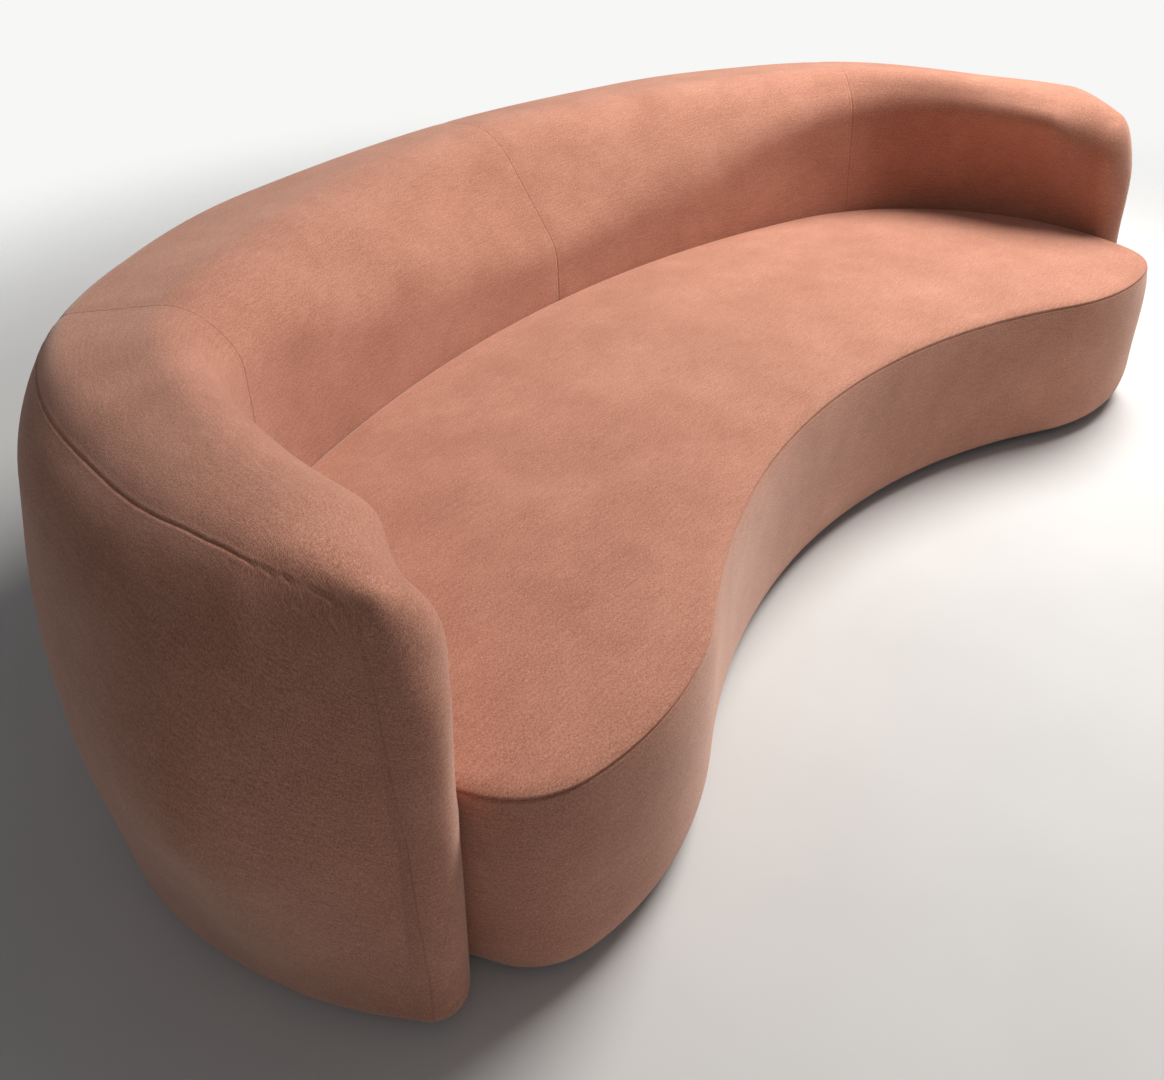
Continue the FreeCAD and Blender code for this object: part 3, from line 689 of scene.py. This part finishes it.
def inside(points, outline):
    hit = np.zeros(len(points), bool)
    for (x0, y0), (x1, y1) in zip(outline, np.roll(outline, -1, 0)):
        if y0 != y1:
            level = (points[:, 1] > min(y0, y1)) & (points[:, 1] <= max(y0, y1))
            cross = x0 + (points[:, 1] - y0) * (x1 - x0) / (y1 - y0)
            hit ^= level & (points[:, 0] < cross)
    return hit


def stretched_skin(outline):
    gx, gy = np.meshgrid(GRID_X, GRID_Y, indexing="ij")
    mask = inside(np.column_stack([gx.ravel(), gy.ravel()]), outline).reshape(gx.shape)
    level = np.zeros(gx.shape)
    odd = (np.indices(gx.shape).sum(0) % 2).astype(bool)
    for _ in range(SETTLING_ROUNDS):
        for turn in (odd, ~odd):
            around = (np.roll(level, 1, 0) + np.roll(level, -1, 0)
                      + np.roll(level, 1, 1) + np.roll(level, -1, 1) + CELL * CELL) / 4
            level = np.where(mask & turn, level + OVERSHOOT * (around - level), level)
    return (level / level.max())**CROWN_POWER


def sampled(level, points):
    i = (points[:, 0] - GRID_X[0]) / CELL
    j = (points[:, 1] - GRID_Y[0]) / CELL
    a, b = np.floor(i).astype(int), np.floor(j).astype(int)
    s, t = i - a, j - b
    return ((1 - s) * (1 - t) * level[a, b] + s * (1 - t) * level[a + 1, b]
            + (1 - s) * t * level[a, b + 1] + s * t * level[a + 1, b + 1])


SKIN = stretched_skin(edge)
print("share of the crown 4 cm inside the edge:",
      round(float(sampled(SKIN, edge_ring(.04)).mean()), 3))

# %% [markdown]
# Within the rim's width the top turns over in a quarter circle, so the cloth meets the edge seam
# on a soft shoulder. Further in it follows the stretched skin.

# %% Rings of the seat
CROWN = 0.032
CROWN_INSETS = np.array([0, .0008, .002, .004, .007, .011, .016, .022, .029, .037, .046, .056,
                         .067, .079, .092, .106, .120])
RIM = .036
SHRINKS = np.concatenate([np.linspace(.975, .12, 36), [.06, 0]])
UNDER_SHARES = (0, .3, .7, 1.0)
TUCK_RISE = (0, .003, .007, .012, .020, .035, .055, .075)
TUCK = (.026, .021, .0175, .014, .0095, .005, .0015, 0)
FULL_FROM, FULLNESS = .06, .006


def crown_rise(xy, inset):
    rise = sampled(SKIN, xy if inset > RIM else edge_ring(RIM))
    return rise * math.sqrt(1 - (1 - min(inset / RIM, 1))**2)


def border_heights():
    low = FOOT + np.array([0, .003, .007, .012, .020, .030])
    high = SEAM_HEIGHT - np.array([.010, .006, .003, .0012])
    return np.concatenate([low, np.linspace(FOOT + .042, SEAM_HEIGHT - .014, 30), high])


# Inward offset of the border: tucked in at the foot, very slightly full below the seam.
def border_offset(z):
    tuck = np.interp(z - FOOT, TUCK_RISE, TUCK)
    inwards = edge_ring(.001) - edge
    inwards = inwards / np.linalg.norm(inwards, axis=1)[:, None]
    climb = (z - FOOT - FULL_FROM) / (SEAM_HEIGHT - FOOT - FULL_FROM)
    full = FULLNESS * math.sin(math.pi * min(max(climb, 0), 1)**2)
    return inwards * ((tuck - full) * SHOWN)[:, None]


def shrunk(ring, share):
    return MIDDLE + (ring - MIDDLE) * share


def seat_rings():
    rings, cloth = [], []

    def add(xy, z, coords):
        rings.append(np.column_stack([xy, np.broadcast_to(z, len(xy))]))
        cloth.append(coords)

    for share in UNDER_SHARES:
        xy = shrunk(edge_ring(TUCK[0] + TUCK_IN), share)
        add(xy, FOOT + TUCK_UP, xy)
    around = lengths(edge)
    for z in border_heights():
        add(edge + border_offset(z), z, np.column_stack([around, np.full(len(edge), z)]))
    for inset in CROWN_INSETS:
        xy = edge_ring(inset)
        add(xy, SEAM_HEIGHT + CROWN * crown_rise(xy, inset), xy)
    for share in SHRINKS:
        xy = shrunk(edge_ring(CROWN_INSETS[-1]), share)
        add(xy, SEAM_HEIGHT + CROWN * sampled(SKIN, xy), xy)
    rings, cloth = np.array(rings), np.array(cloth)
    # The first column is repeated at the end, with the border's cloth measured on to the full turn.
    closing = cloth[:, :1].copy()
    border = slice(len(UNDER_SHARES), len(UNDER_SHARES) + len(border_heights()))
    closing[border, 0, 0] = around[-1] + np.linalg.norm(edge[0] - edge[-1])
    return np.concatenate([rings, rings[:, :1]], 1), np.concatenate([cloth, closing], 1)


seat_points, seat_cloth = seat_rings()
print("seat rings:", seat_points.shape)

# %% Weld the seat and draw in its edge seam
SEAT_STRENGTH, SEAT_VALLEY = 2.0, .0006

seat_body = mesh_from("seat_upholstery", [
    (seat_points.transpose(1, 0, 2), seat_cloth.transpose(1, 0, 2), False, False)])
print("seat faces:", len(seat_body.data.polygons))
seam_ring = len(UNDER_SHARES) + len(border_heights())
draw_in(seat_body, [seat_points[seam_ring]], (SEAT_STRENGTH,), SEAT_VALLEY)

# %% [markdown]
# The cover is a fine dull wool and linen cloth, a dusty terracotta. Close up it is a weave of warp
# and weft with slightly uneven threads, and from further off the threads melt into a soft mottling
# with faint lines along the weft. Its nap catches the light, so surfaces seen at a low angle look
# paler and pinker. Threads are noise stretched along the cloth coordinates, which are in metres, so
# a scale of 900 across them means about 900 threads to the metre.

# %% Helpers for node materials
def new_material(name):
    material = bpy.data.materials.new(name)
    material.use_nodes = True
    tree = material.node_tree
    return material, tree, tree.nodes["Principled BSDF"]


def stretched_noise(tree, source, scale, detail=2.0, roughness=.5):
    mapping = tree.nodes.new("ShaderNodeMapping")
    mapping.inputs["Scale"].default_value = scale
    noise = tree.nodes.new("ShaderNodeTexNoise")
    noise.inputs["Scale"].default_value = 1.0
    noise.inputs["Detail"].default_value = detail
    noise.inputs["Roughness"].default_value = roughness
    tree.links.new(source, mapping.inputs["Vector"])
    tree.links.new(mapping.outputs["Vector"], noise.inputs["Vector"])
    return noise.outputs["Fac"]


def arithmetic(tree, operation, a, b):
    node = tree.nodes.new("ShaderNodeMath")
    node.operation = operation
    for socket, value in zip(node.inputs, (a, b)):
        if isinstance(value, (int, float)):
            socket.default_value = value
        else:
            tree.links.new(value, socket)
    return node.outputs[0]


def weighted(tree, *parts):
    total = 0.0
    for source, weight in parts:
        total = arithmetic(tree, "ADD", arithmetic(tree, "MULTIPLY", source, weight), total)
    return total


def ramp(tree, source, stops):
    node = tree.nodes.new("ShaderNodeValToRGB")
    node.color_ramp.elements[0].position, node.color_ramp.elements[0].color = stops[0]
    node.color_ramp.elements[1].position, node.color_ramp.elements[1].color = stops[-1]
    for position, colour in stops[1:-1]:
        node.color_ramp.elements.new(position).color = colour
    tree.links.new(source, node.inputs["Fac"])
    return node.outputs["Color"]


def bump(tree, shader, height, distance, strength, under=None):
    node = tree.nodes.new("ShaderNodeBump")
    node.inputs["Distance"].default_value = distance
    node.inputs["Strength"].default_value = strength
    tree.links.new(height, node.inputs["Height"])
    if under is not None:
        tree.links.new(under, node.inputs["Normal"])
    tree.links.new(node.outputs["Normal"], shader.inputs["Normal"])
    return node.outputs["Normal"]


# %% [markdown]
# Both threads, their slubs, a wide mottling, the nap and fine flecks are added up by weight, and
# the sum picks a tone between a deep, a middle and a pale terracotta. The threads also raise the
# surface a little, over a softer unevenness of the stuffing.

# %% The terracotta cloth
CLOTH_DEEP = (.345, .140, .088, 1)
CLOTH_BODY = (.50, .222, .146, 1)
CLOTH_PALE = (.66, .330, .236, 1)
NAP_TINT = (1.0, .80, .70, 1)
THREAD_HEIGHT, STUFFING_HEIGHT = .0012, .005


def terracotta_cloth():
    material, tree, shader = new_material("terracotta_cloth")
    coordinates = tree.nodes.new("ShaderNodeTexCoord")
    cloth, solid = coordinates.outputs["UV"], coordinates.outputs["Object"]
    weft = stretched_noise(tree, cloth, (230, 900, 1), 3)
    warp = stretched_noise(tree, cloth, (900, 230, 1), 3)
    slubs = stretched_noise(tree, cloth, (22, 240, 1), 3, .6)
    nap = stretched_noise(tree, solid, (7, 7, 7), 4, .6)
    flecks = stretched_noise(tree, solid, (560, 560, 560), 2)
    wide = stretched_noise(tree, cloth, (60, 300, 1), 4, .65)
    tone = weighted(tree, (weft, .24), (warp, .20), (slubs, .10), (wide, .07), (nap, .13),
                    (flecks, .26))
    colour = ramp(tree, tone, [(.42, CLOTH_DEEP), (.5, CLOTH_BODY), (.58, CLOTH_PALE)])
    tree.links.new(colour, shader.inputs["Base Color"])
    shader.inputs["Roughness"].default_value = .9
    shader.inputs["Specular IOR Level"].default_value = .25
    shader.inputs["Sheen Weight"].default_value = .45
    shader.inputs["Sheen Roughness"].default_value = .45
    shader.inputs["Sheen Tint"].default_value = NAP_TINT
    stuffing = stretched_noise(tree, solid, (7, 7, 7), 2)
    soft = bump(tree, shader, stuffing, STUFFING_HEIGHT, .2)
    threads = weighted(tree, (weft, .6), (warp, .4))
    bump(tree, shader, threads, THREAD_HEIGHT, .7, soft)
    return material


CLOTH = terracotta_cloth()
for piece in (back_body, seat_body):
    piece.data.materials.append(CLOTH)
print("cloth:", len(CLOTH.node_tree.nodes), "nodes")

# %% [markdown]
# The two bodies stand for every cover and all the foam of the imported model. They are firm foam
# under taut cloth; each is fixed to the root body, and the soft solids it stands for are hidden.

# %% Put the upholstery in place of the soft solids
SEAT_SOFT = ("seat_top_cover", "seat_border_front", "seat_border_rear", "seat_foam_topper",
             "seat_foam_core", "seat_border_foam_front", "seat_border_foam_rear")
BACK_SOFT = ("arm_cover_right", "arm_cover_left", "back_cover_right", "back_cover_left",
             "outside_cover", "back_foam_right", "back_foam_left", "arm_end_foam_right",
             "arm_end_foam_left")
for piece, nodes in ((seat_body, SEAT_SOFT), (back_body, BACK_SOFT)):
    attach(piece, "root")
    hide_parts(*nodes)
print("soft nodes replaced:", len(SEAT_SOFT) + len(BACK_SOFT))

# %% [markdown]
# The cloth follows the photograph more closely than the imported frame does: the inner face leans
# back behind the sitter, and the arm ends reach and droop. So the rail, the outer board, the ribs
# and the formers are shown as trimmed copies. Each point is found on the path as a place and a
# depth, is kept a little under the cloth above seat height, and moves along with the arm's reach.

# %% Find a point on the path
def nearest_place(x, y):
    starts = (ARC_LENGTH, ROUND_THE_ARM[0], ARCS[4]), (0.0, ARM_END_HEADING, ARCS[3])
    for start, first_heading, (cx, cy, radius, _, _) in starts:
        turned = math.atan2(abs(x) - cx, cy - y) - math.radians(first_heading)
        if turned >= 0:
            break
    return start + turned * radius, math.hypot(abs(x) - cx, y - cy) - radius - UNIT_GAP


# %% Trim the frame under the cloth
UNDER_FACE = .012
END_CLEAR = .086
TRIM_ABOVE = .45
HEADROOM = .004
LEAST_REACH = 1e-5


def under_cloth(near, depth, z):
    line = section(max(near, END_PLACE))
    top = int(np.argmax(line[:, 1]))
    inner, outer = line[:top], line[top:][::-1]
    least = float(np.interp(z + HEADROOM, inner[:, 1], inner[:, 0])) + UNDER_FACE
    most = float(np.interp(z + HEADROOM, outer[:, 1], outer[:, 0])) - UNDER_FACE
    return max(min(depth, most), least)


def trimmed(node_name):
    node = frame["nodes"][node_name]
    piece = bpy.data.objects.new(node_name + "_trimmed", node.data.copy())
    bpy.context.scene.collection.objects.link(piece)
    piece.matrix_world = node.matrix_world.copy()
    moved = 0
    for vertex in piece.data.vertices:
        p = piece.matrix_world @ vertex.co
        near, depth = nearest_place(p.x, p.y)
        high = p.z > TRIM_ABOVE
        short = high and near < END_CLEAR
        near = min(END_CLEAR if short else near, HALF_LENGTH)
        wanted = under_cloth(near, depth, p.z) if high else depth
        place = near if p.x >= 0 else 2 * HALF_LENGTH - near
        reach = arm_reach(place, p.z)
        if short or wanted != depth or abs(reach) > LEAST_REACH:
            origin, out = on_path(place, reach)
            at = origin + out * wanted
            vertex.co = piece.matrix_world.inverted() @ Vector((at[0], at[1], p.z))
            moved += 1
    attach(piece, "root")
    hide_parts(node_name)
    print(node_name, "points moved:", moved)
    return piece


TRIMMED = ["back_top_rail", "back_outer_board"]
TRIMMED += [f"back_{kind}_{number}" for kind in ("rib", "former") for number in range(1, 10)]
trimmed_pieces = [trimmed(name) for name in TRIMMED]

# %% [markdown]
# What the cloth hides still has its own finish, for anyone who opens the sofa up: birch plywood
# with its grain, bending plywood, woven elastic webbing, open hessian, black lining, moulded
# glides, zinc screws and black steel straps.

# %% Finishes of the hidden pieces
def new_solid_material(name):
    material, tree, shader = new_material(name)
    return material, tree, shader, tree.nodes.new("ShaderNodeTexCoord").outputs["Object"]


def plywood(name, pale, dark, grain):
    material, tree, shader, solid = new_solid_material(name)
    figure = stretched_noise(tree, solid, grain, 5, .6)
    plies = stretched_noise(tree, solid, (3, 3, 520), 1)
    tone = weighted(tree, (figure, .75), (plies, .25))
    tree.links.new(ramp(tree, tone, [(.35, dark), (.65, pale)]), shader.inputs["Base Color"])
    shader.inputs["Roughness"].default_value = .62
    bump(tree, shader, figure, .0006, .4)
    return material


def woven(name, base, thread, scale):
    material, tree, shader, solid = new_solid_material(name)
    across = stretched_noise(tree, solid, (scale, scale * .1, scale), 2)
    along = stretched_noise(tree, solid, (scale * .1, scale, scale), 2)
    tone = weighted(tree, (across, .5), (along, .5))
    tree.links.new(ramp(tree, tone, [(.38, base), (.62, thread)]), shader.inputs["Base Color"])
    shader.inputs["Roughness"].default_value = .88
    bump(tree, shader, tone, .0008, .6)
    return material


def dull(name, base, worn, roughness, metallic=0.0):
    material, tree, shader, solid = new_solid_material(name)
    specks = stretched_noise(tree, solid, (240, 240, 240), 4)
    tree.links.new(ramp(tree, specks, [(.35, base), (.7, worn)]), shader.inputs["Base Color"])
    shader.inputs["Roughness"].default_value = roughness
    shader.inputs["Metallic"].default_value = metallic
    bump(tree, shader, specks, .0003, .3)
    return material


FINISHES = {
    "plywood": plywood("birch_plywood", (.72, .56, .36, 1), (.52, .36, .20, 1), (6, 60, 60)),
    "bendy_plywood": plywood("bending_plywood", (.76, .62, .42, 1), (.58, .42, .25, 1),
                             (60, 60, 5)),
    "webbing": woven("elastic_webbing", (.010, .010, .012, 1), (.06, .06, .065, 1), 500),
    "hessian": woven("hessian", (.20, .13, .065, 1), (.46, .34, .19, 1), 420),
    "lining_cloth": woven("black_lining", (.008, .008, .009, 1), (.030, .030, .032, 1), 700),
    "glide_plastic": dull("moulded_black", (.010, .010, .011, 1), (.03, .03, .032, 1), .5),
    "zinc_screws": dull("zinc", (.50, .50, .48, 1), (.72, .72, .70, 1), .34, 1.0),
    "strap_steel": dull("black_painted_steel", (.012, .012, .013, 1), (.05, .05, .05, 1), .42),
    "seat_foam": dull("seat_foam", (.62, .58, .42, 1), (.74, .70, .55, 1), .95),
    "soft_foam": dull("soft_foam", (.70, .68, .58, 1), (.80, .78, .70, 1), .95),
    "terracotta_fabric": CLOTH,
}


def give_finish(piece, slot):
    piece.data.materials.clear()
    piece.data.materials.append(FINISHES[slot])


slots = {part["node"]: part["material_slot"] for part in frame["record"]["subparts"]}
for node_name, slot in slots.items():
    give_finish(frame["nodes"][node_name], slot)
for piece, node_name in zip(trimmed_pieces, TRIMMED):
    give_finish(piece, slots[node_name])

# %% [markdown]
# The floor and the background are pale and plain. The floor is one disc that grows clear towards
# its rim, so that it runs into the background without a line. The background looks almost white
# to the camera, and lights every side of the sofa only a little.

# %% Floor and surroundings
FLOOR_RADIUS = 4
FLOOR_FADE = (1.5, 3.6)


def pale_floor():
    bpy.ops.mesh.primitive_circle_add(vertices=96, radius=FLOOR_RADIUS, fill_type="NGON",
                                      location=(0, 0, 0))
    floor = bpy.context.object
    floor.name = "floor"
    material, tree, shader, solid = new_solid_material("pale_floor")
    tone = stretched_noise(tree, solid, (3, 3, 3), 4)
    tree.links.new(ramp(tree, tone, [(.3, (.70, .70, .69, 1)), (.7, (.74, .74, .73, 1))]),
                   shader.inputs["Base Color"])
    shader.inputs["Roughness"].default_value = .9
    gap = tree.nodes.new("ShaderNodeVectorMath")
    gap.operation = "LENGTH"
    tree.links.new(solid, gap.inputs[0])
    fade = tree.nodes.new("ShaderNodeMapRange")
    fade.interpolation_type = "SMOOTHSTEP"
    fade.inputs["From Min"].default_value, fade.inputs["From Max"].default_value = FLOOR_FADE
    tree.links.new(gap.outputs["Value"], fade.inputs["Value"])
    clear = tree.nodes.new("ShaderNodeBsdfTransparent")
    mix = tree.nodes.new("ShaderNodeMixShader")
    tree.links.new(fade.outputs["Result"], mix.inputs["Fac"])
    tree.links.new(shader.outputs[0], mix.inputs[1])
    tree.links.new(clear.outputs[0], mix.inputs[2])
    tree.links.new(mix.outputs[0], tree.nodes["Material Output"].inputs["Surface"])
    floor.data.materials.append(material)


def surroundings(strength):
    world = bpy.data.worlds.new("studio")
    bpy.context.scene.world = world
    world.use_nodes = True
    tree = world.node_tree
    rays = tree.nodes.new("ShaderNodeLightPath")
    seen = arithmetic(tree, "MAXIMUM", rays.outputs["Is Camera Ray"], rays.outputs["Is Glossy Ray"])
    seen = arithmetic(tree, "MAXIMUM", seen, rays.outputs["Is Transmission Ray"])
    lights, shows = tree.nodes.new("ShaderNodeBackground"), tree.nodes["Background"]
    lights.inputs["Color"].default_value = (.92, .95, 1.0, 1)
    lights.inputs["Strength"].default_value = strength
    shows.inputs["Color"].default_value = (.93, .93, .92, 1)
    shows.inputs["Strength"].default_value = 1.0
    mix = tree.nodes.new("ShaderNodeMixShader")
    tree.links.new(seen, mix.inputs["Fac"])
    tree.links.new(lights.outputs[0], mix.inputs[1])
    tree.links.new(shows.outputs[0], mix.inputs[2])
    tree.links.new(mix.outputs[0], tree.nodes["World Output"].inputs["Surface"])


pale_floor()
surroundings(.11)

# %% [markdown]
# One broad lamp high on the right does most of the work, as a tall window would: it rakes over
# the seat and the crest and leaves the outer side of the near arm in soft shade. A weak, wide
# lamp behind the camera keeps that shade readable.

# %% Lamps
def lamp(name, place, target, size, power, colour):
    data = bpy.data.lights.new(name, "AREA")
    data.shape, data.size = "DISK", size
    data.energy, data.color = power, colour
    light = bpy.data.objects.new(name, data)
    bpy.context.scene.collection.objects.link(light)
    light.location = place
    light.rotation_euler = (Vector(target) - Vector(place)).to_track_quat("-Z", "Y").to_euler()


lamp("window", (1.9, -.6, 3.0), (.1, -.1, .3), 1.9, 168, (1.0, .97, .94))
lamp("fill", (-2.6, -3.2, 2.8), (0, 0, .3), 3.0, 9, (1.0, .98, .96))

# %% [markdown]
# The camera stands where the photographer stood: at the left front corner, at chest height,
# looking down over the near arm. The picture is the lower part of an upright one, so the lens is
# shifted a little.

# %% Camera
PICTURE = (1164, 1080)
EYE = (-1.6664, -1.3384, 1.3685)
HEADING, LOOK_DOWN, ROLL = .7472, .4683, -.0371
FOCAL_PIXELS = 1092.4
AXIS_ROW = 360


def photo_camera():
    data = bpy.data.cameras.new("photo_camera")
    data.sensor_width = 36.0
    data.lens = FOCAL_PIXELS / PICTURE[0] * data.sensor_width
    data.shift_y = -(PICTURE[1] / 2 - AXIS_ROW) / PICTURE[0]
    camera = bpy.data.objects.new("photo_camera", data)
    bpy.context.scene.collection.objects.link(camera)
    forward = Vector((math.cos(HEADING) * math.cos(LOOK_DOWN),
                      math.sin(HEADING) * math.cos(LOOK_DOWN), -math.sin(LOOK_DOWN)))
    right = Vector((math.sin(HEADING), -math.cos(HEADING), 0))
    up = right.cross(forward)
    turned_right = right * math.cos(ROLL) + up * math.sin(ROLL)
    turned_up = up * math.cos(ROLL) - right * math.sin(ROLL)
    turn = Matrix((turned_right, turned_up, -forward)).transposed()
    camera.matrix_world = Matrix.Translation(EYE) @ turn.to_4x4()
    bpy.context.scene.camera = camera
    print("lens", round(data.lens, 2), "mm, shift", round(data.shift_y, 3))


photo_camera()
bpy.context.scene.view_settings.view_transform = "Standard"
